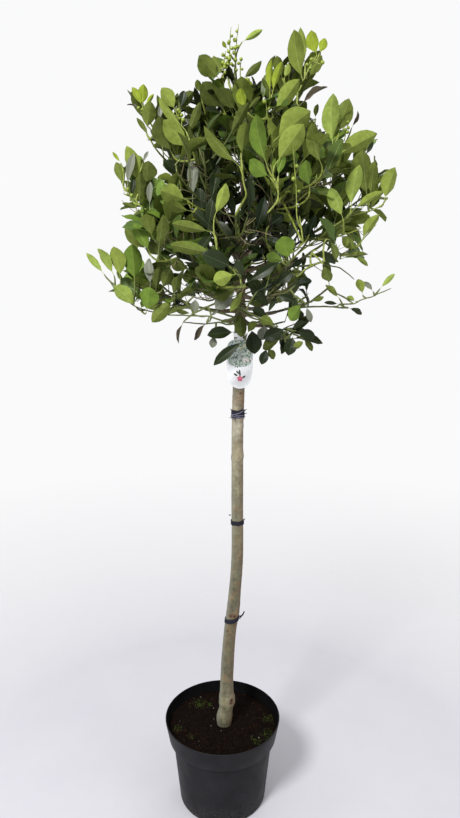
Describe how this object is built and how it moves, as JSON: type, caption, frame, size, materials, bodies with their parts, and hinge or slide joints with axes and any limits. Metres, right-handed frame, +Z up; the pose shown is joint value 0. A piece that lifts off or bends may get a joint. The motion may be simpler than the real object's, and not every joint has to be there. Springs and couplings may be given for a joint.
{
  "type": "potted holly tree",
  "caption": "Standard holly in a round nursery pot: a slim clear stem, slightly leaning, under a rounded, open head of upright shoots with plain elliptic leaves.",
  "frame": {"origin": "centre of the pot's flat underside", "axes": "+Z up along the stem, +X to the right and -Y to the front as the picture shows the plant"},
  "size_m": [0.6173, 0.559, 1.6462],
  "materials": {
    "pot": "matte charcoal",
    "soil": "damp compost",
    "bark": "smooth grey-green bark",
    "tie": "dark blue-black",
    "label": "satin white",
    "leaf": "glossy evergreen leaf"
  },
  "bodies": {
    "root": {"pot": "pot", "soil": "soil", "trunk": "bark", "tie_upper": "tie", "tie_middle": "tie", "tie_lower": "tie", "label": "label", "bough_top_right": "bark", "bough_top_left": "bark", "bough_top_back": "bark", "bough_top_front": "bark", "bough_upper_back_left": "bark", "bough_upper_right": "bark", "bough_upper_front_left": "bark", "bough_upper_back_right": "bark", "bough_upper_left": "bark", "bough_upper_front_right": "bark", "bough_mid_back_left": "bark", "bough_mid_right": "bark", "bough_mid_front": "bark", "bough_mid_back": "bark", "bough_mid_front_left": "bark", "bough_mid_front_right": "bark", "bough_mid_left": "bark", "bough_low_back_right": "bark", "bough_low_front": "bark", "bough_low_back_left": "bark", "bough_low_front_right": "bark", "bough_low_left": "bark", "bough_low_right": "bark", "bough_hang_left": "bark", "bough_hang_right": "bark", "leaves_top_centre": "leaf", "leaves_top_right": "leaf", "leaves_top_left": "leaf", "leaves_top_back": "leaf", "leaves_top_front": "leaf", "leaves_upper_back_left": "leaf", "leaves_upper_right": "leaf", "leaves_upper_front_left": "leaf", "leaves_upper_back_right": "leaf", "leaves_upper_left": "leaf", "leaves_upper_front_right": "leaf", "leaves_mid_back_left": "leaf", "leaves_mid_right": "leaf", "leaves_mid_front": "leaf", "leaves_mid_back": "leaf", "leaves_mid_front_left": "leaf", "leaves_mid_front_right": "leaf", "leaves_mid_left": "leaf", "leaves_low_back_right": "leaf", "leaves_low_front": "leaf", "leaves_low_back_left": "leaf", "leaves_low_front_right": "leaf", "leaves_low_left": "leaf", "leaves_low_right": "leaf", "leaves_hang_left": "leaf", "leaves_hang_right": "leaf"}
  },
  "joints": []
}
